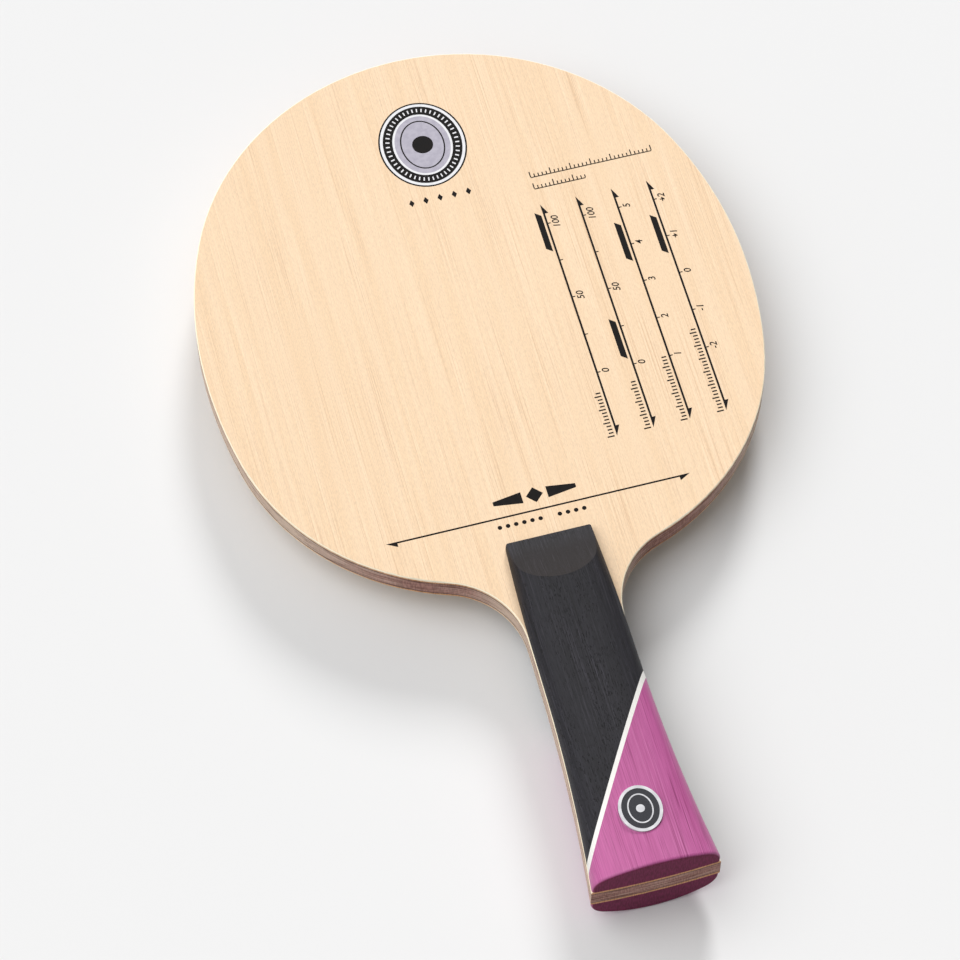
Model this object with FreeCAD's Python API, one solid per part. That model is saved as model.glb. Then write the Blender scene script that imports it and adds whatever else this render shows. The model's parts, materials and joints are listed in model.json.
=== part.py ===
import FreeCAD, Part
import math
import os

# A bare table tennis blade: five glued plies with a flared handle.
# The model is drawn with Y from the butt to the tip, Z along the front face's normal, Y = 0 at the
# butt and Z = 0 at the middle of the plies. move_to_row_frame() then puts the origin under its centre.

# ---- driving dimensions, in millimetres and degrees ----
# head outline
head_length = 157.5           # top end of the handle to the tip
head_width = 150.0
widest_share = 0.45           # height of the widest line, as a share of the head's length
tip_split = 22.0              # turn of the side arc before the tip arc takes over
cheek_split = 12.5            # turn of the side arc before the cheek arc takes over
neck_turn = 71.5              # turn of the neck arc
neck_radius = 22.5
neck_drop = 27.5              # from the handle's top end down to the start of the neck arc

# plies
face_thickness = 0.9
carbon_thickness = 0.4
core_thickness = 4.4
edge_round = 0.35             # rounding of the face plies' outer edge
rubber_gap = 1.0              # from the handle's top end up to the line where the rubber starts

# handle
handle_length = 100.0
waist_drop = 37.5             # from the handle's top end down to its waist
top_width = 23.2
waist_width = 25.6
butt_width = 33.3
waist_height = 7.2            # from the face ply to the handle's crest, from the waist up
butt_height = 9.5             # the same at the butt
waist_wall = 0.6              # upright part of the handle's side, from the waist up
butt_wall = 1.3
shoulder_turn = 65.0          # turn of the shoulder arc before the crown arc takes over
waist_ledge = 0.15            # how far the plies stand out beyond the scale at the waist
butt_ledge = 0.1
butt_bow = 0.55               # how far the middle of the butt stands out beyond its corners
butt_round = 0.8
corner_cut = 0.5              # chamfer on the corners of the handle's top end

# thumb scoop at the handle's top end
scoop_run = 15.2
scoop_end_height = 2.1
scoop_radius = 45.0

# white strip across the handle
strip_thickness = 1.15
strip_angle = 30.9            # between the strip and the handle's length
strip_centre = 33.2           # where it crosses the centre line, from the butt

# badge
badge_width = 11.0
badge_length = 13.0
badge_centre = 15.7           # from the butt
badge_sink = 1.0              # depth of its pocket below the crest
badge_proud = 0.35            # height above the crest
badge_rim = 0.8
badge_recess = 0.5            # depth of the enamel's recess
enamel_drop = 0.12            # from the rim's top to the enamel
ring_inset = 1.5              # from the rim to the inner ring
ring_width = 0.35
pip_radius = 1.1
pocket_clearance = 0.05

# ---- derived sizes ----
length = handle_length + head_length
ply_total = 2 * face_thickness + 2 * carbon_thickness + core_thickness
waist_line = handle_length - waist_drop
neck_line = handle_length - neck_drop
widest_line = handle_length + widest_share * head_length
rubber_line = handle_length + rubber_gap
tang_half_width = waist_width / 2 + waist_ledge

# ---- working allowances ----
margin = 10.0                 # how far cutting tools reach past what they cut
slack = 0.1                   # when edges are picked by where they lie
bar_spans = 8                 # lengths between the sections that the scale's bar is lofted through
bar_overrun = 1.0             # how far that bar reaches past both ends of the handle

Vector = FreeCAD.Vector
ORIGIN = Vector(0, 0, 0)
ACROSS_AXIS = Vector(1, 0, 0)
LENGTH_AXIS = Vector(0, 1, 0)
UP_AXIS = Vector(0, 0, 1)


# ---- curves ----
def left_of(heading):
    angle = math.radians(heading)
    return Vector(-math.sin(angle), math.cos(angle), 0)


def arc_chain(start, heading, arcs):
    """Edges of arcs (radius, turn), each tangent to the one before. A left turn is positive."""
    edges = []
    for radius, turn in arcs:
        offset = math.copysign(radius, turn)
        centre = start + left_of(heading) * offset
        middle = centre - left_of(heading + turn / 2) * offset
        end = centre - left_of(heading + turn) * offset
        edges.append(Part.Arc(start, middle, end).toShape())
        start = end
        heading += turn
    return edges


def two_radii(across, along, split, end=90.0):
    """Radii of two tangent arcs that run `along` and come in by `across`.

    The first starts parallel to `along` and turns by `split`; the second goes on to `end`.
    """
    split, end = math.radians(split), math.radians(end)
    first_across = 1 - math.cos(split)
    second_across = math.cos(split) - math.cos(end)
    first_along = math.sin(split)
    second_along = math.sin(end) - math.sin(split)
    scale = first_across * second_along - second_across * first_along
    first = (across * second_along - along * second_across) / scale
    second = (along * first_across - across * first_along) / scale
    return first, second


def arc_radius(run, rise):
    """Radius of an arc that starts parallel to `run` and drifts by `rise` over it."""
    return (run**2 + rise**2) / (2 * rise)


def line(start, end):
    return Part.makeLine(start, end)


def closed_face(edges):
    return Part.Face(Part.Wire(edges))


# ---- plies ----
def head_arcs():
    """The head from the right side of the neck, over the tip, to the left side of the neck."""
    neck = math.radians(neck_turn)
    side, tip = two_radii(head_width / 2, length - widest_line, tip_split)
    cheek_across = head_width / 2 - tang_half_width - neck_radius * (1 - math.cos(neck))
    cheek_along = widest_line - neck_line - neck_radius * math.sin(neck)
    low_side, cheek = two_radii(cheek_across, cheek_along, cheek_split, neck_turn)
    right = [
        (neck_radius, -neck_turn),
        (cheek, neck_turn - cheek_split),
        (low_side, cheek_split),
        (side, tip_split),
    ]
    return right + [(tip, 2 * (90 - tip_split))] + right[::-1]


def butt_corner():
    """The plies' right corner at the butt."""
    return Vector(butt_width / 2 + butt_ledge, butt_bow, 0)


def butt_radius():
    return arc_radius(butt_corner().x, butt_bow)


def ply_outline():
    """Face of the whole outline, at Z = 0."""
    right_neck = Vector(tang_half_width, neck_line, 0)
    right_waist = Vector(tang_half_width, waist_line, 0)
    right_butt = butt_corner()
    left_neck, left_waist, left_butt = [Vector(-p.x, p.y, 0) for p in (right_neck, right_waist, right_butt)]
    flare_run = waist_line - right_butt.y
    flare_radius = arc_radius(flare_run, right_butt.x - tang_half_width)
    flare_turn = math.degrees(math.asin(flare_run / flare_radius))
    edges = arc_chain(right_neck, 90, head_arcs())
    edges.append(line(left_neck, left_waist))
    edges += arc_chain(left_waist, 270, [(flare_radius, -flare_turn)])
    edges.append(Part.Arc(left_butt, ORIGIN, right_butt).toShape())
    edges += arc_chain(right_butt, 90 + flare_turn, [(flare_radius, -flare_turn)])
    edges.append(line(right_waist, right_neck))
    return closed_face(edges)


def ply(bottom, thickness):
    sheet = ply_outline().extrude(UP_AXIS * thickness)
    sheet.translate(UP_AXIS * bottom)
    return sheet


def face_ply():
    """The front face ply, with its outer edge rounded from the waist up and round the tip.

    Its top is two coplanar faces: the playing face, which the rubber covers, and the rest.
    """
    bottom = ply_total / 2 - face_thickness
    sheet = ply(bottom, face_thickness)
    top = ply_total / 2
    rounded = []
    for edge in sheet.Edges:
        box = edge.BoundBox
        if box.ZMin > top - slack and box.YMax > waist_line + slack:
            rounded.append(edge)
    sheet = sheet.makeFillet(edge_round, rounded)
    reach = head_width + margin
    corner = Vector(-reach, rubber_line, bottom - margin)
    head_space = Part.makeBox(2 * reach, head_length + margin, face_thickness + 2 * margin, corner)
    playing_part = sheet.common(head_space)
    return playing_part.fuse(sheet.cut(head_space))


def turned_over(shape):
    """The same piece on the rear: turned half a turn about the paddle's length."""
    copy = shape.copy()
    copy.rotate(ORIGIN, LENGTH_AXIS, 180)
    return copy


# ---- handle scales, drawn on a base at Z = 0 ----
def scale_half_width(y):
    """Half the scale's width: it flares from the waist to the butt and draws in a little to the top end."""
    if y < waist_line:
        radius = arc_radius(waist_line - butt_bow, (butt_width - waist_width) / 2)
        drift = radius - math.sqrt(radius**2 - (waist_line - y) ** 2)
    else:
        radius = arc_radius(waist_drop, (waist_width - top_width) / 2)
        drift = math.sqrt(radius**2 - (y - waist_line) ** 2) - radius
    return waist_width / 2 + drift


def between_waist_and_butt(at_waist, at_butt, y):
    """A size of the section that is steady from the waist up, and grows faster and faster to the butt."""
    growth = (max(0.0, waist_line - y) / waist_line) ** 2
    return at_waist + (at_butt - at_waist) * growth


def crest_height(y):
    return between_waist_and_butt(waist_height, butt_height, y)


def scale_section(y):
    """Upright side walls under two shoulder arcs and a crown arc, as a wire across the handle."""
    half = scale_half_width(y)
    wall = between_waist_and_butt(waist_wall, butt_wall, y)
    shoulder, crown = two_radii(half, crest_height(y) - wall, shoulder_turn)
    arcs = [(shoulder, shoulder_turn), (crown, 2 * (90 - shoulder_turn)), (shoulder, shoulder_turn)]
    right_foot, right_wall = Vector(half, 0, 0), Vector(half, wall, 0)
    left_foot, left_wall = Vector(-half, 0, 0), Vector(-half, wall, 0)
    edges = [line(left_foot, right_foot), line(right_foot, right_wall)]
    edges += arc_chain(right_wall, 90, arcs)
    edges.append(line(left_wall, left_foot))
    wire = Part.Wire(edges)
    wire.rotate(ORIGIN, ACROSS_AXIS, 90)
    wire.translate(Vector(0, y, 0))
    return wire


def scale_bar():
    """The flared bar that the scale is cut from, a little longer at both ends."""
    start, end = -bar_overrun, handle_length + bar_overrun
    stations = [start + (end - start) * i / bar_spans for i in range(bar_spans + 1)]
    return Part.makeLoft([scale_section(y) for y in stations], True, False)


def scale_footprint():
    """What the bar is trimmed to in plan: a bowed butt and a square top with its corners cut."""
    wide = butt_width / 2 + margin
    radius = butt_radius()
    butt_edge = radius - math.sqrt(radius**2 - wide**2)
    top_half = scale_half_width(handle_length)
    cut_foot = handle_length - corner_cut - (wide - top_half)
    top_corner = Vector(top_half - corner_cut, handle_length, 0)
    right = [Vector(wide, butt_edge, 0), Vector(wide, cut_foot, 0), top_corner]
    left = [Vector(-p.x, p.y, 0) for p in reversed(right)]
    edges = [line(a, b) for a, b in zip(right + left, (right + left)[1:])]
    edges.append(Part.Arc(left[-1], ORIGIN, right[0]).toShape())
    return closed_face(edges).extrude(UP_AXIS * (butt_height + margin))


def scoop_cutter():
    """A cylinder across the handle through the scoop's border on the crest and its foot at the end."""
    border = Vector(0, handle_length - scoop_run, crest_height(handle_length - scoop_run))
    foot = Vector(0, handle_length, scoop_end_height)
    chord = foot - border
    outward = Vector(0, -chord.z, chord.y).normalize()
    rise = math.sqrt(scoop_radius**2 - (chord.Length / 2) ** 2)
    centre = (border + foot) * 0.5 + outward * rise
    reach = butt_width / 2 + margin
    return Part.makeCylinder(scoop_radius, 2 * reach, centre - ACROSS_AXIS * reach, ACROSS_AXIS)


def is_butt_rim(edge):
    """True for an edge round the scale's butt end, except the one on its base."""
    box = edge.BoundBox
    return box.YMax < butt_bow + slack and box.ZMax > slack


def whole_scale():
    """One handle scale with its butt rounded and its thumb scoop cut, before it is divided."""
    scale = scale_bar().common(scale_footprint())
    scale = scale.makeFillet(butt_round, [edge for edge in scale.Edges if is_butt_rim(edge)])
    return scale.cut(scoop_cutter())


def strip_slab(low, high):
    """A slab across the handle at the strip's angle, between two distances from the strip's centre."""
    reach = handle_length + margin
    slab = Part.makeBox(2 * reach, high - low, butt_height + 2 * margin, Vector(-reach, low, -margin))
    slab.rotate(ORIGIN, UP_AXIS, 90 - strip_angle)
    slab.translate(Vector(0, strip_centre, 0))
    return slab


def scale_pieces():
    """The dark block, the white strip and the pink wedge of one scale."""
    scale = whole_scale()
    half_strip = strip_thickness / 2
    reach = handle_length + margin
    dark = scale.common(strip_slab(half_strip, reach))
    strip = scale.common(strip_slab(-half_strip, half_strip))
    wedge = scale.common(strip_slab(-reach, -half_strip))
    return dark, strip, wedge


# ---- badge, drawn with its middle at the origin and the crest at Z = 0 ----
def oval(inset, bottom, height):
    """An upright oval column, `inset` inside the badge's outline."""
    ellipse = Part.Ellipse(Vector(0, 0, bottom), badge_length / 2 - inset, badge_width / 2 - inset)
    column = closed_face([ellipse.toShape()]).extrude(UP_AXIS * height)
    column.rotate(ORIGIN, UP_AXIS, 90)
    return column


def pip(bottom, height):
    return Part.makeCylinder(pip_radius, height, Vector(0, 0, bottom))


def badge_body():
    """A metal oval with a rim, an inner ring and a round pip standing up from its recess."""
    body = oval(0, -badge_sink, badge_sink + badge_proud)
    floor = badge_proud - badge_recess
    recess = oval(badge_rim, floor, badge_recess)
    ring_start = badge_rim + ring_inset
    ring = oval(ring_start, floor, badge_recess).cut(oval(ring_start + ring_width, floor, badge_recess))
    return body.cut(recess.cut(ring).cut(pip(floor, badge_recess)))


def badge_enamel():
    """The enamel that fills the recess round the ring and the pip."""
    floor = badge_proud - badge_recess
    depth = badge_recess - enamel_drop
    ring_start = badge_rim + ring_inset
    outer = oval(badge_rim, floor, depth).cut(oval(ring_start, floor, depth))
    inner = oval(ring_start + ring_width, floor, depth).cut(pip(floor, depth))
    return Part.Compound([outer, inner])


def badge_pocket():
    return oval(-pocket_clearance, -badge_sink, badge_sink + margin)


# ---- assembly ----
def on_crest(shape):
    """Move a badge piece to its place on a scale, level with the crest's slope."""
    half_badge = badge_length / 2
    rise = crest_height(badge_centre + half_badge) - crest_height(badge_centre - half_badge)
    shape.rotate(ORIGIN, ACROSS_AXIS, math.degrees(math.atan(rise / badge_length)))
    shape.translate(Vector(0, badge_centre, crest_height(badge_centre)))
    return shape


def on_front(shape):
    """Move a piece drawn on a base at Z = 0 onto the front face ply."""
    lifted = shape.copy()
    lifted.translate(UP_AXIS * (ply_total / 2))
    return lifted


def move_to_row_frame(pieces):
    """Put the origin under the middle of the length and width, level with the rear crest's lowest point."""
    lowest = min(piece.optimalBoundingBox(False).ZMin for piece in pieces.values())
    for piece in pieces.values():
        piece.translate(Vector(0, -length / 2, -lowest))


def all_pieces():
    core_bottom = -core_thickness / 2
    front_face = face_ply()
    dark, strip, wedge = scale_pieces()
    pieces = {
        "front_face_ply": front_face,
        "front_carbon_ply": ply(-core_bottom, carbon_thickness),
        "core_ply": ply(core_bottom, core_thickness),
        "rear_carbon_ply": ply(core_bottom - carbon_thickness, carbon_thickness),
        "rear_face_ply": turned_over(front_face),
    }
    for name, piece in (("dark_block", dark), ("white_strip", strip), ("pink_wedge", wedge)):
        pieces["front_handle_" + name] = on_front(piece)
        pieces["rear_handle_" + name] = turned_over(on_front(piece))
    pieces["front_handle_pink_wedge"] = on_front(wedge.cut(on_crest(badge_pocket())))
    pieces["badge_body"] = on_front(on_crest(badge_body()))
    pieces["badge_enamel"] = on_front(on_crest(badge_enamel()))
    move_to_row_frame(pieces)
    return pieces


os.makedirs("parts", exist_ok=True)
for name, piece in all_pieces().items():
    state = "valid" if piece.isValid() else "NOT VALID"
    piece.exportStep(os.path.join("parts", name + ".step"))
    print(name, len(piece.Solids), "solid(s),", state, round(piece.Volume, 2))
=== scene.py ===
import json
import math

import bmesh
import bpy
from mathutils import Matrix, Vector


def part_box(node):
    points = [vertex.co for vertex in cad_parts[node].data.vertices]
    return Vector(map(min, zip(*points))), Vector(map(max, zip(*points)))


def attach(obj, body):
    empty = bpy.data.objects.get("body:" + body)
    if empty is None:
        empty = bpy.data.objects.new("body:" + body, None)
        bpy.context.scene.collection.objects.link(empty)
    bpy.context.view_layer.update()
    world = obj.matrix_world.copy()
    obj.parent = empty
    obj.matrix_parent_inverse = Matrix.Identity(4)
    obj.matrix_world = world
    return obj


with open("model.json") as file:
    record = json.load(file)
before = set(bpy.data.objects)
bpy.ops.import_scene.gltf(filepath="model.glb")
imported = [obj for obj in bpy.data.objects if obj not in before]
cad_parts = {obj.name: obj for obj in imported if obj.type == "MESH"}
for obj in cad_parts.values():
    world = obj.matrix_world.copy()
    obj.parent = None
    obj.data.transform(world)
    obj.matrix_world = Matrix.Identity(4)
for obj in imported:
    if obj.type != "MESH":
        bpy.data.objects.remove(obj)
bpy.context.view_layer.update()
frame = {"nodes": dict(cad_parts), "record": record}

MM = 0.001

# ---- places, in millimetres: X across from the centre line, Y from the butt, Z up ----
low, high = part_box("front_face_ply")
FACE_Z = high.z / MM
BUTT_Y = low.y / MM

# ---- view ----
VIEW_AZIMUTH = -15.15         # degrees, from the butt towards +X
VIEW_ELEVATION = 60.2
VIEW_DISTANCE = 1.0319
VIEW_LENS = 147.8
VIEW_AIM = Vector((-12.56, -7.47, 16.5)) * MM

# ---- light ----
CEILING_AZIMUTH = -100        # the brightest part of the ceiling
CEILING_ELEVATION = 52
SKY_DARK = 0.04
SKY_BRIGHT = 0.67
LEFT_LIGHT = 1.45             # W per square metre
BACK_LIGHT = 2.15

# ---- printed marks, in millimetres ----
INK_THICKNESS = 0.02
INK_SINK = 0.01
EMBLEM_Y = 228.1
EMBLEM_WIDTH = 24.2
EMBLEM_HEIGHT = 28.2
GAUGE_X = 26.1                # first gauge line
GAUGE_PITCH = 10.03
GAUGE_LOW = 124.8
GAUGE_HIGH = 200.6
GAUGE_LINE = 0.55
LEVELS = (145.0, 157.3, 169.6, 181.8, 194.1)
MARKERS = (191.6, 153.6, 183.0, 182.9)     # middle of each gauge's marker
TITLE_LENGTHS = (14.2, 16.0, 21.5, 27.2)   # of the row of strokes beside each gauge
TITLE_PITCH = 1.05
TITLE_STROKE = 0.4
TITLE_GAP = 0.9                            # from the gauge line to the strokes
NUMERAL_SIZE = 2.7
NUMERAL_GAP = 2.5
BASE_LINE_Y = 108.8
BASE_LINE_HALF = 41.1
BASE_LINE_WIDTH = 0.48


# ================= materials =================
class Graph:
    """A material's node tree, with short calls for the nodes that the woods share."""

    def __init__(self, name):
        self.material = bpy.data.materials.new(name)
        self.material.use_nodes = True
        self.nodes = self.material.node_tree.nodes
        self.links = self.material.node_tree.links
        self.shader = self.nodes["Principled BSDF"]
        self.coords = self.nodes.new("ShaderNodeTexCoord")

    def node(self, kind, inputs=(), **settings):
        made = self.nodes.new(kind)
        for key, value in settings.items():
            setattr(made, key, value)
        for key, value in dict(inputs).items():
            self.feed(made.inputs[key], value)
        return made

    def feed(self, socket, value):
        if isinstance(value, bpy.types.NodeSocket):
            self.links.new(value, socket)
        else:
            socket.default_value = value

    def math(self, operation, a, b=0.0, clamp=False):
        made = self.node("ShaderNodeMath", {0: a, 1: b}, operation=operation, use_clamp=clamp)
        return made.outputs[0]

    def remap(self, value, low, high, to_low=0.0, to_high=1.0, smooth=True):
        kind = "SMOOTHSTEP" if smooth else "LINEAR"
        inputs = {"Value": value, "From Min": low, "From Max": high, "To Min": to_low, "To Max": to_high}
        return self.node("ShaderNodeMapRange", inputs, interpolation_type=kind).outputs["Result"]

    def noise(self, size, detail=2.0, roughness=0.5, source=None, shift=0.0):
        """Noise whose features are about size=(x, y, z) millimetres large."""
        scale = Vector([1 / (s * MM) for s in size])
        start = source or self.coords.outputs["Object"]
        offset = (shift, shift, shift)
        scaled = self.node("ShaderNodeVectorMath", {0: start, 1: scale}, operation="MULTIPLY")
        moved = self.node("ShaderNodeVectorMath", {0: scaled.outputs[0], 1: offset}, operation="ADD")
        inputs = {"Vector": moved.outputs[0], "Scale": 1.0, "Detail": detail, "Roughness": roughness}
        return self.node("ShaderNodeTexNoise", inputs).outputs["Fac"]

    def mix(self, factor, a, b, blend="MIX"):
        made = self.node("ShaderNodeMix", data_type="RGBA", blend_type=blend)
        self.feed(made.inputs["Factor"], factor)
        self.feed(made.inputs["A"], a)
        self.feed(made.inputs["B"], b)
        return made.outputs["Result"]

    def bump(self, height, distance_mm, strength=1.0, normal=None):
        inputs = {"Height": height, "Distance": distance_mm * MM, "Strength": strength}
        if normal is not None:
            inputs["Normal"] = normal
        return self.node("ShaderNodeBump", inputs).outputs["Normal"]

    def set(self, **values):
        for key, value in values.items():
            self.feed(self.shader.inputs[key.replace("_", " ")], value)


def linear(red, green, blue):
    """An sRGB colour, 0 to 255, as the linear colour that a shader takes."""
    def channel(value):
        value /= 255
        return value / 12.92 if value <= 0.04045 else ((value + 0.055) / 1.055) ** 2.4
    return (channel(red), channel(green), channel(blue), 1.0)


def wavy_coords(graph, sway_mm, length_mm):
    """Object coordinates with a slow sideways sway, so that the grain isn't ruled."""
    sway = graph.noise((30, length_mm, 30), detail=1.0, shift=7.3)
    offset = graph.math("MULTIPLY_ADD", sway, sway_mm * MM)
    offset.node.inputs[2].default_value = -sway_mm * MM / 2
    vector = graph.node("ShaderNodeCombineXYZ", {"X": offset, "Z": offset})
    source = graph.coords.outputs["Object"]
    return graph.node("ShaderNodeVectorMath", {0: source, 1: vector.outputs[0]}, operation="ADD").outputs[0]


def facing(graph, axis):
    """How squarely the surface faces along one of its object's axes, 0 to 1, either way."""
    parts = graph.node("ShaderNodeSeparateXYZ", {0: graph.coords.outputs["Normal"]})
    return graph.math("ABSOLUTE", parts.outputs[axis])


def end_grain_mask(graph, low=0.5, high=0.95):
    """1 where the surface cuts across the fibres, which run along Y."""
    return graph.remap(facing(graph, "Y"), low, high)


def rim_highlight_mask(graph):
    """1 on a rounded edge between a flat top or bottom and an upright side, where the face wood's painted
    highlight goes.
    """
    tilt = facing(graph, "Z")
    return graph.math("MULTIPLY", graph.remap(tilt, 0.12, 0.35), graph.remap(tilt, 0.99, 0.93))


def wood(name, colour, band, line, end, pale=None, line_size=(0.38, 55), band_size=(4, 160), line_amount=0.5,
         band_amount=0.6, fibre_size=(0.3, 1.6, 0.3), fibre_amount=0.1, roughness=0.5, specular=0.5,
         relief_mm=0.02, sway_mm=0.6, layer_depth=None):
    """Straight-grained wood: bands, grain lines in clusters and fine fibres along Y, and end grain.

    A deep layer keeps the grain lines long where the surface slopes along the grain.
    """
    graph = Graph(name)
    source = wavy_coords(graph, sway_mm, 120)
    across, along = line_size
    bands = graph.noise((band_size[0], band_size[1], band_size[0]), detail=2.0, source=source)
    graph.depth = layer_depth or across
    lines = graph.noise((across, along, graph.depth), detail=1.0, source=source, shift=3.1)
    patches = graph.noise((5, 70, 5), detail=1.0, source=source, shift=8.6)
    clusters = graph.remap(patches, 0.35, 0.65, 0.3, 1.0)
    fibres = graph.noise(fibre_size, detail=2.0, source=source, shift=5.7)
    tone = graph.mix(graph.math("MULTIPLY", graph.remap(bands, 0.35, 0.65), band_amount), colour, band)
    dark = graph.math("MULTIPLY", graph.remap(lines, 0.53, 0.72), clusters)
    tone = graph.mix(graph.math("MULTIPLY", dark, line_amount), tone, line)
    if pale is not None:
        light = graph.math("MULTIPLY", graph.remap(lines, 0.45, 0.3), clusters)
        tone = graph.mix(graph.math("MULTIPLY", light, line_amount), tone, pale)
    fine = graph.remap(fibres, 0.3, 0.7, 1 - fibre_amount, 1 + fibre_amount, smooth=False)
    fine_colour = graph.node("ShaderNodeCombineColor", {0: fine, 1: fine, 2: fine}).outputs[0]
    tone = graph.mix(1.0, tone, fine_colour, blend="MULTIPLY")
    rings = graph.noise((0.35, 40, 2.0), detail=3.0, shift=9.2)
    end_tone = graph.mix(graph.remap(rings, 0.35, 0.65), end, [c * 0.62 for c in end[:3]] + [1.0])
    tone = graph.mix(end_grain_mask(graph), tone, end_tone)
    graph.relief = graph.math("ADD", graph.math("MULTIPLY", fibres, 0.6), graph.math("MULTIPLY", lines, 0.4))
    graph.tone = tone
    graph.source = source
    graph.set(Base_Color=tone, Normal=graph.bump(graph.relief, relief_mm))
    smooth = graph.remap(fibres, 0.3, 0.7, roughness - 0.06, roughness + 0.06)
    graph.set(Roughness=graph.math("MAXIMUM", smooth, end_grain_mask(graph)))
    graph.shader.inputs["Specular IOR Level"].default_value = specular
    return graph


def add_pores(graph, colour, size=(0.32, 2.2), level=(0.6, 0.68), amount=0.8, depth_mm=0.06):
    """Open pores: short dark dashes along the grain, sunk into the surface."""
    across, along = size
    dashes = graph.noise((across, along, graph.depth), detail=1.0, source=graph.source, shift=11.4)
    clusters = graph.noise((5, 30, 5), detail=1.0, shift=2.2)
    pores = graph.math("MULTIPLY", graph.remap(dashes, *level), graph.remap(clusters, 0.35, 0.6, 0.25, 1.0))
    pores = graph.math("MULTIPLY", pores, graph.remap(facing(graph, "Y"), 0.25, 0.1))
    graph.tone = graph.mix(graph.math("MULTIPLY", pores, amount), graph.tone, colour)
    height = graph.math("SUBTRACT", graph.math("MULTIPLY", graph.relief, 0.3), pores)
    graph.set(Base_Color=graph.tone, Normal=graph.bump(height, depth_mm))
    return graph


def face_wood():
    """Pale, close-grained softwood, with a painted highlight on its rounded edge."""
    graph = wood("face_wood", linear(240, 211, 177), linear(236, 205, 168), linear(205, 166, 128),
                 linear(216, 160, 118), pale=linear(249, 226, 196), line_size=(0.2, 45), line_amount=0.5,
                 band_amount=0.7, fibre_size=(0.22, 0.9, 0.22), fibre_amount=0.075, roughness=0.55,
                 specular=0.35, relief_mm=0.012)
    # Painted highlight: the rounded edge gets a paler colour that stands in for the light it catches.
    graph.tone = graph.mix(rim_highlight_mask(graph), graph.tone, linear(255, 244, 218))
    graph.set(Base_Color=graph.tone)
    return graph.material


def core_wood():
    """Soft, brownish wood, seen only at its cut edge: streaky along it, and redder across the grain."""
    graph = wood("core_wood", linear(206, 184, 165), linear(190, 166, 148), linear(138, 108, 94),
                 linear(176, 132, 122), pale=linear(224, 208, 193), line_size=(0.3, 14), band_size=(1.0, 30),
                 line_amount=0.5, fibre_size=(0.25, 1.2, 0.25), fibre_amount=0.06, roughness=0.7,
                 specular=0.2, relief_mm=0.03)
    streaks = graph.noise((9, 9, 0.45), detail=2.0, shift=12.6)
    graph.tone = graph.mix(graph.remap(streaks, 0.52, 0.72), graph.tone, linear(112, 78, 68))
    graph.tone = graph.mix(graph.remap(streaks, 0.48, 0.3, 0.0, 0.45), graph.tone, linear(214, 190, 176))
    graph.set(Base_Color=graph.tone)
    return graph.material


def carbon_veneer():
    """The cut edge of a woven veneer: dark, with the bundles' ends as fine speckles."""
    graph = Graph("carbon_veneer")
    bundles = graph.noise((0.5, 0.5, 0.12), detail=2.0)
    tone = graph.mix(graph.remap(bundles, 0.4, 0.62), linear(48, 31, 24), linear(104, 70, 54))
    graph.set(Base_Color=tone, Roughness=graph.remap(bundles, 0.3, 0.7, 0.45, 0.7),
              Normal=graph.bump(bundles, 0.03))
    return graph.material


def dark_wood():
    """Black-dyed, open-grained hardwood with short pores, matt and browner where it is cut slantwise."""
    graph = wood("dark_wood", linear(34, 33, 39), linear(29, 28, 32), linear(14, 13, 15), linear(52, 44, 43),
                 pale=linear(51, 49, 56), line_size=(0.3, 30), line_amount=0.9, fibre_size=(0.25, 4, 0.25),
                 fibre_amount=0.3, roughness=0.55, specular=0.26, relief_mm=0.03, layer_depth=2.0)
    add_pores(graph, linear(5, 5, 6), size=(0.24, 1.6), amount=0.9, depth_mm=0.09)
    cut = graph.remap(facing(graph, "Y"), 0.1, 0.3)
    shade = graph.mix(graph.math("MULTIPLY", cut, 0.5), graph.tone, linear(36, 28, 24))
    graph.set(Base_Color=shade, Roughness=graph.remap(cut, 0.0, 1.0, 0.55, 0.68, smooth=False))
    return graph.material


def pink_wood():
    """Pink-dyed hardwood, finely striped along its grain, with a satin lacquer; its end grain is darker,
    partly as painted shade on the butt end.
    """
    # The end-grain colour (120, 40, 76) is partly real end grain and partly painted shade, darkened so the
    # butt end reads as shaded.
    graph = wood("pink_wood", linear(186, 92, 150), linear(176, 82, 139), linear(128, 40, 94),
                 linear(120, 40, 76), pale=linear(204, 120, 172), line_size=(0.22, 60), line_amount=0.85,
                 fibre_size=(0.2, 5, 2), fibre_amount=0.06, roughness=0.42, specular=0.45, relief_mm=0.02,
                 layer_depth=2.0)
    return add_pores(graph, linear(118, 36, 86), size=(0.13, 14), amount=0.45, depth_mm=0.012).material


def white_veneer():
    return wood("white_veneer", linear(237, 235, 231), linear(231, 228, 223), linear(214, 209, 202),
                linear(205, 200, 192), line_size=(0.4, 25), line_amount=0.35, fibre_amount=0.03,
                roughness=0.4).material


def badge_metal():
    """Polished die-struck metal with fine scratches and a slightly uneven polish."""
    graph = Graph("badge_metal")
    clouds = graph.noise((2.5, 2.5, 2.5), detail=3.0)
    scratches = graph.noise((0.08, 2.2, 0.5), detail=1.0, shift=4.4)
    tone = graph.mix(graph.remap(clouds, 0.3, 0.7), linear(226, 226, 230), linear(243, 243, 246))
    graph.set(Base_Color=tone, Roughness=graph.remap(clouds, 0.3, 0.7, 0.16, 0.28),
              Normal=graph.bump(scratches, 0.004))
    graph.shader.inputs["Metallic"].default_value = 0.45
    return graph.material


def badge_enamel():
    """Dark glossy fill with a faint orange-peel surface."""
    graph = Graph("badge_enamel")
    ripple = graph.noise((1.2, 1.2, 1.2), detail=2.0)
    specks = graph.noise((0.15, 0.15, 0.15), detail=1.0, shift=6.1)
    tone = graph.mix(graph.remap(specks, 0.45, 0.75), linear(44, 45, 50), linear(58, 60, 66))
    graph.set(Base_Color=tone, Roughness=graph.remap(ripple, 0.3, 0.7, 0.12, 0.22),
              Normal=graph.bump(ripple, 0.02))
    graph.shader.inputs["Coat Weight"].default_value = 0.4
    return graph.material


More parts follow.
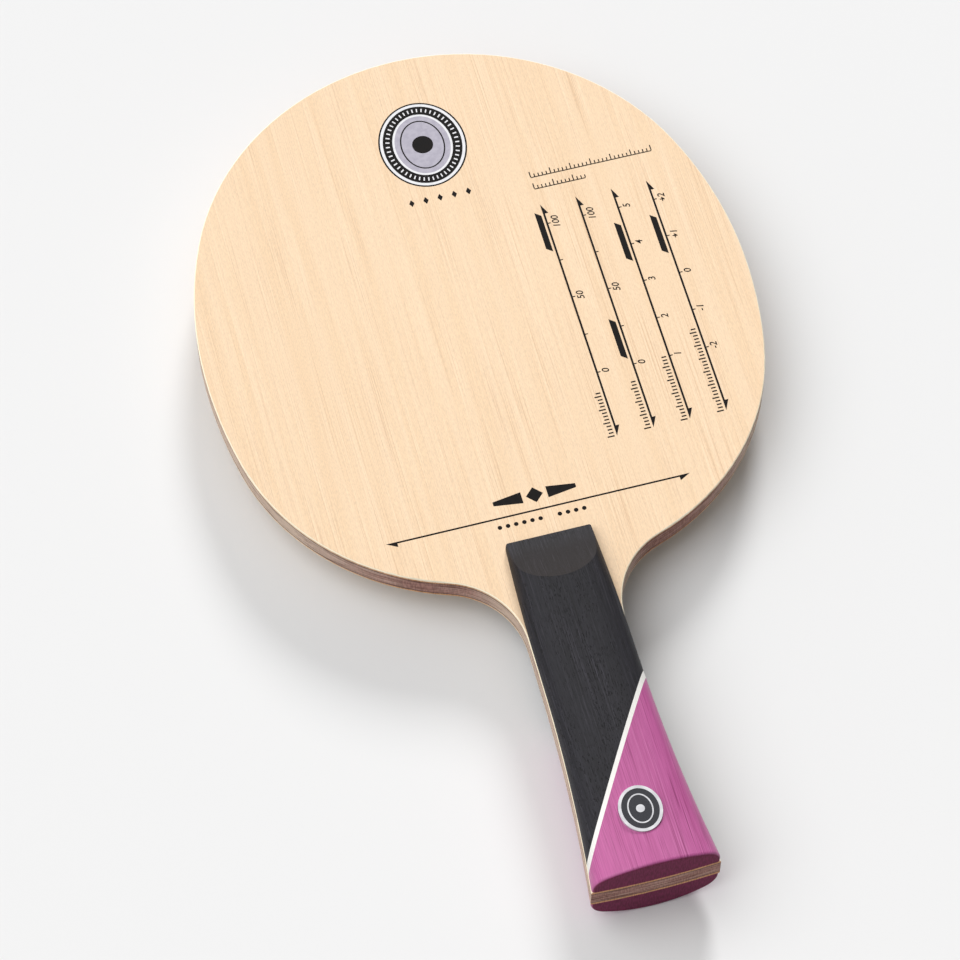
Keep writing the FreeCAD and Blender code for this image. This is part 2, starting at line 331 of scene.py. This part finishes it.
def ink(name, colour, worn):
    """Screen-printed ink: matt, a little uneven, thinner on the wood's raised fibres."""
    graph = Graph(name)
    fibres = graph.noise((0.22, 7, 0.22), detail=2.0, shift=5.7)
    mottle = graph.noise((1.5, 1.5, 1.5), detail=3.0)
    tone = graph.mix(graph.remap(mottle, 0.35, 0.65), colour, worn)
    tone = graph.mix(graph.math("MULTIPLY", graph.remap(fibres, 0.62, 0.8), 0.35), tone, worn)
    graph.set(Base_Color=tone, Roughness=graph.remap(mottle, 0.3, 0.7, 0.5, 0.65),
              Normal=graph.bump(fibres, 0.02))
    graph.shader.inputs["Specular IOR Level"].default_value = 0.1
    return graph.material


def floor_paint():
    graph = Graph("floor")
    graph.set(Base_Color=linear(231, 231, 231))
    graph.shader.inputs["Roughness"].default_value = 0.9
    graph.shader.inputs["Specular IOR Level"].default_value = 0.1
    return graph.material


# ================= printed marks =================
class Print:
    """Collects flat shapes in millimetres, as seen on the front face, and makes one thin solid of them."""

    def __init__(self, layers_below=0):
        self.mesh = bmesh.new()
        self.bottom = FACE_Z - INK_SINK + layers_below * INK_THICKNESS
        self.top = FACE_Z + (layers_below + 1) * INK_THICKNESS

    def ring_of(self, points, z):
        return [self.mesh.verts.new(Vector((x, y + BUTT_Y, z)) * MM) for x, y in points]

    def walls(self, lower, upper):
        for i, vert in enumerate(lower):
            j = (i + 1) % len(lower)
            self.mesh.faces.new((vert, lower[j], upper[j], upper[i]))

    def polygon(self, points):
        """A filled outline, given anticlockwise."""
        lower, upper = self.ring_of(points, self.bottom), self.ring_of(points, self.top)
        self.walls(lower, upper)
        self.mesh.faces.new(upper)
        self.mesh.faces.new(lower[::-1])

    def band(self, outer, inner):
        """The area between two outlines with the same number of points, both anticlockwise."""
        out_low, out_high = self.ring_of(outer, self.bottom), self.ring_of(outer, self.top)
        in_low, in_high = self.ring_of(inner, self.bottom), self.ring_of(inner, self.top)
        self.walls(out_low, out_high)
        self.walls(in_low[::-1], in_high[::-1])
        for i in range(len(outer)):
            j = (i + 1) % len(outer)
            self.mesh.faces.new((out_high[i], out_high[j], in_high[j], in_high[i]))
            self.mesh.faces.new((out_low[j], out_low[i], in_low[i], in_low[j]))

    def rectangle(self, x_low, x_high, y_low, y_high):
        self.polygon([(x_low, y_low), (x_high, y_low), (x_high, y_high), (x_low, y_high)])

    def finish(self, name, material):
        mesh = bpy.data.meshes.new(name)
        self.mesh.to_mesh(mesh)
        self.mesh.free()
        return add_piece(name, mesh, material)


def add_piece(name, mesh, material):
    mesh.materials.clear()
    mesh.materials.append(material)
    piece = bpy.data.objects.new(name, mesh)
    bpy.context.scene.collection.objects.link(piece)
    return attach(piece, "root")


def oval(centre_y, half_width, half_height, count=96):
    turns = [2 * math.pi * i / count for i in range(count)]
    return [(half_width * math.cos(t), centre_y + half_height * math.sin(t)) for t in turns]


def emblem_oval(inset):
    return oval(EMBLEM_Y, EMBLEM_WIDTH / 2 - inset, EMBLEM_HEIGHT / 2 - inset)


def rim_ticks(sheet, count, outer_inset, inner_inset, half_turn):
    """Short radial bars all round the emblem, between two insets."""
    outer = (EMBLEM_WIDTH / 2 - outer_inset, EMBLEM_HEIGHT / 2 - outer_inset)
    inner = (EMBLEM_WIDTH / 2 - inner_inset, EMBLEM_HEIGHT / 2 - inner_inset)
    for i in range(count):
        turn = 2 * math.pi * i / count
        corners = [(inner, turn - half_turn), (outer, turn - half_turn), (outer, turn + half_turn),
                   (inner, turn + half_turn)]
        sheet.polygon([(size[0] * math.cos(t), EMBLEM_Y + size[1] * math.sin(t)) for size, t in corners])


def emblem(black, white, grey):
    """A plain oval medallion: a milled rim, a grey field, a thin ring and a ball."""
    dark, light, field, ticks = Print(), Print(), Print(), Print(layers_below=1)
    for outer, inner in ((0.0, 0.45), (1.25, 3.9), (6.0, 6.4)):
        dark.band(emblem_oval(outer), emblem_oval(inner))
    for outer, inner in ((0.45, 1.25), (3.9, 4.5)):
        light.band(emblem_oval(outer), emblem_oval(inner))
    ball = oval(EMBLEM_Y, 2.9, 2.9)
    dark.polygon(ball)
    field.band(emblem_oval(4.5), emblem_oval(6.0))
    field.band(emblem_oval(6.4), ball)
    rim_ticks(ticks, count=48, outer_inset=2.0, inner_inset=3.1, half_turn=0.018)
    dark.finish("print_emblem_dark", black)
    light.finish("print_emblem_light", white)
    field.finish("print_emblem_field", grey)
    ticks.finish("print_emblem_ticks", white)


def diamonds(sheet, centre_x, centre_y, count, pitch, half_width, half_height):
    for i in range(count):
        x = centre_x + (i - (count - 1) / 2) * pitch
        sheet.polygon([(x, centre_y - half_height), (x + half_width, centre_y), (x, centre_y + half_height),
                       (x - half_width, centre_y)])


def gauge(sheet, x, marker_y, title_length):
    """One upright scale line with a half arrowhead at each end, its marker and its row of strokes."""
    left, right = x - GAUGE_LINE / 2, x + GAUGE_LINE / 2
    barb, head = 1.5, 3.2
    sheet.polygon([(left, GAUGE_LOW), (left + barb, GAUGE_LOW + head), (right, GAUGE_LOW + head),
                   (right, GAUGE_HIGH - head), (left + barb, GAUGE_HIGH - head), (left, GAUGE_HIGH)])
    marker_left, marker_right, half, slant = x - 2.5, x - 0.85, 6.0, 0.65
    sheet.polygon([(marker_left, marker_y - half + slant), (marker_right, marker_y - half - slant),
                   (marker_right, marker_y + half - slant), (marker_left, marker_y + half + slant)])
    for i in range(round(title_length / TITLE_PITCH)):
        y = GAUGE_LOW + i * TITLE_PITCH
        reach = 1.9 if i % 4 == 0 else 1.3
        sheet.rectangle(x - TITLE_GAP - reach, x - TITLE_GAP, y, y + TITLE_STROKE)
    for level in LEVELS:
        sheet.rectangle(right, right + 0.7, level - 0.15, level + 0.15)


def gauges(black):
    sheet = Print()
    for i, (marker_y, title_length) in enumerate(zip(MARKERS, TITLE_LENGTHS)):
        gauge(sheet, GAUGE_X + i * GAUGE_PITCH, marker_y, title_length)
    sheet.finish("print_gauges", black)


def numeral(text, x, y, size):
    """A number lying on the face, read from the right-hand side, as mesh data."""
    curve = bpy.data.curves.new("numeral", "FONT")
    curve.body = text
    curve.size = size * MM
    curve.shear = 0.2
    curve.offset = 0.03 * MM
    curve.align_x = "CENTER"
    curve.align_y = "CENTER"
    curve.extrude = (INK_THICKNESS + INK_SINK) / 2 * MM
    holder = bpy.data.objects.new("numeral", curve)
    bpy.context.scene.collection.objects.link(holder)
    holder.rotation_euler.z = math.pi / 2
    holder.location = Vector((x, y + BUTT_Y, FACE_Z + (INK_THICKNESS - INK_SINK) / 2)) * MM
    bpy.context.view_layer.update()
    mesh = bpy.data.meshes.new_from_object(holder.evaluated_get(bpy.context.evaluated_depsgraph_get()))
    mesh.transform(holder.matrix_world)
    bpy.data.objects.remove(holder)
    return mesh


def gauge_numerals(black):
    three = ("0", None, "50", None, "100")
    five = ("1", "2", "3", "4", "5")
    signed = ("-2", "-1", "0", "+1", "+2")
    joined = bmesh.new()
    for i, texts in enumerate((three, three, five, signed)):
        for text, level in zip(texts, LEVELS):
            if text is not None:
                joined.from_mesh(numeral(text, GAUGE_X + i * GAUGE_PITCH + NUMERAL_GAP, level, NUMERAL_SIZE))
    mesh = bpy.data.meshes.new("print_numerals")
    joined.to_mesh(mesh)
    joined.free()
    add_piece("print_numerals", mesh, black)


def ruler(sheet, x_low, x_high, y_low, y_high):
    """A rule with fine ticks, in place of a line of small print."""
    line, pitch, half_tick = 0.3, 1.15, 0.15
    sheet.rectangle(x_low, x_high, y_low, y_low + line)
    count = round((x_high - x_low) / pitch)
    for i in range(count + 1):
        x = x_low + (x_high - x_low) * i / count
        tall = y_high if i % 5 == 0 else (y_low + y_high) / 2 + 0.2
        sheet.rectangle(x - half_tick, x + half_tick, y_low + line, tall)


def rulers(black):
    sheet = Print()
    ruler(sheet, x_low=25.8, x_high=60.2, y_low=209.6, y_high=211.7)
    ruler(sheet, x_low=25.8, x_high=40.3, y_low=205.7, y_high=207.8)
    diamonds(sheet, centre_x=0.2, centre_y=210.0, count=5, pitch=4.0, half_width=0.75, half_height=1.15)
    sheet.finish("print_rulers", black)


def base_marks(black):
    """The arrow line above the handle, with a bar ornament over it and a row of dots under it."""
    sheet = Print()
    y, half, width = BASE_LINE_Y, BASE_LINE_HALF, BASE_LINE_WIDTH
    barb, head = 1.55, 2.9
    top, bottom = y + width / 2, y - width / 2
    sheet.polygon([(-half, top), (-half + head, top - barb), (-half + head, bottom),
                   (half - head, bottom), (half - head, top - barb), (half, top)])
    for side in (-1, 1):
        outline = [(side * 3.4, 111.6), (side * 11.2, 112.7), (side * 11.2, 113.9), (side * 3.4, 115.0)]
        sheet.polygon(outline if side > 0 else outline[::-1])
    diamonds(sheet, centre_x=0.0, centre_y=113.3, count=1, pitch=0.0, half_width=2.3, half_height=2.3)
    dot_radius, dot_pitch = 0.6, 2.2
    dot = oval(106.1, dot_radius, dot_radius, 20)
    for start, count in ((-11.3, 6), (4.9, 4)):
        for i in range(count):
            sheet.polygon([(x + start + i * dot_pitch, dot_y) for x, dot_y in dot])
    sheet.finish("print_base_marks", black)


# ================= scene =================
def paint_cad_nodes():
    finishes = {
        "face_wood": face_wood(),
        "core_wood": core_wood(),
        "carbon_veneer": carbon_veneer(),
        "dark_wood": dark_wood(),
        "white_veneer": white_veneer(),
        "pink_wood": pink_wood(),
        "badge_metal": badge_metal(),
        "badge_enamel": badge_enamel(),
    }
    for subpart in frame["record"]["subparts"]:
        mesh = frame["nodes"][subpart["node"]].data
        mesh.materials.clear()
        mesh.materials.append(finishes[subpart["material_slot"]])


def view_direction(azimuth, elevation):
    """From the aim point towards a point at this azimuth, from the butt towards +X, and elevation."""
    around, up = math.radians(azimuth), math.radians(elevation)
    return Vector((math.sin(around) * math.cos(up), -math.cos(around) * math.cos(up), math.sin(up)))


def aim_at(thing, target):
    thing.rotation_euler = (target - thing.location).to_track_quat("-Z", "Y").to_euler()


def add_camera():
    data = bpy.data.cameras.new("camera")
    data.lens = VIEW_LENS
    data.clip_start = 0.01
    camera = bpy.data.objects.new("camera", data)
    bpy.context.scene.collection.objects.link(camera)
    camera.location = VIEW_AIM + view_direction(VIEW_AZIMUTH, VIEW_ELEVATION) * VIEW_DISTANCE
    aim_at(camera, VIEW_AIM)
    bpy.context.scene.camera = camera


def add_far_light(name, azimuth, elevation, width, irradiance):
    """A large light so far off that it lights the whole floor evenly; `width` is the angle it fills."""
    data = bpy.data.lights.new(name, "SUN")
    data.angle = math.radians(width)
    data.energy = irradiance
    lamp = bpy.data.objects.new(name, data)
    bpy.context.scene.collection.objects.link(lamp)
    lamp.location = view_direction(azimuth, elevation)
    aim_at(lamp, Vector((0, 0, 0)))


def add_floor():
    sheet = bmesh.new()
    bmesh.ops.create_grid(sheet, x_segments=4, y_segments=4, size=3.0)
    mesh = bpy.data.meshes.new("floor")
    sheet.to_mesh(mesh)
    sheet.free()
    mesh.materials.append(floor_paint())
    floor = bpy.data.objects.new("floor", mesh)
    bpy.context.scene.collection.objects.link(floor)


def studio_world():
    """A bright ceiling that fades towards the floor's front right."""
    world = bpy.data.worlds.new("studio")
    world.use_nodes = True
    nodes, links = world.node_tree.nodes, world.node_tree.links
    direction = nodes.new("ShaderNodeTexCoord").outputs["Generated"]
    facing = nodes.new("ShaderNodeVectorMath")
    facing.operation = "DOT_PRODUCT"
    facing.inputs[1].default_value = view_direction(CEILING_AZIMUTH, CEILING_ELEVATION)
    links.new(direction, facing.inputs[0])
    fade = nodes.new("ShaderNodeMapRange")
    fade.interpolation_type = "SMOOTHSTEP"
    fade.inputs["From Min"].default_value = -0.1
    fade.inputs["From Max"].default_value = 0.95
    fade.inputs["To Min"].default_value = SKY_DARK
    fade.inputs["To Max"].default_value = SKY_BRIGHT
    links.new(facing.outputs["Value"], fade.inputs["Value"])
    links.new(fade.outputs["Result"], nodes["Background"].inputs["Strength"])
    nodes["Background"].inputs["Color"].default_value = (1.0, 1.0, 1.0, 1.0)
    return world


def light_scene():
    scene = bpy.context.scene
    scene.world = studio_world()
    add_far_light("left_light", azimuth=-100, elevation=58, width=60, irradiance=LEFT_LIGHT)
    add_far_light("back_light", azimuth=158, elevation=27, width=16, irradiance=BACK_LIGHT)
    scene.view_settings.view_transform = "Standard"


paint_cad_nodes()
black_ink = ink("black_ink", linear(16, 14, 14), linear(25, 22, 21))
white_ink = ink("white_ink", linear(236, 236, 238), linear(228, 228, 231))
grey_ink = ink("grey_ink", linear(184, 180, 192), linear(174, 170, 183))
emblem(black_ink, white_ink, grey_ink)
gauges(black_ink)
gauge_numerals(black_ink)
rulers(black_ink)
base_marks(black_ink)
add_floor()
light_scene()
add_camera()
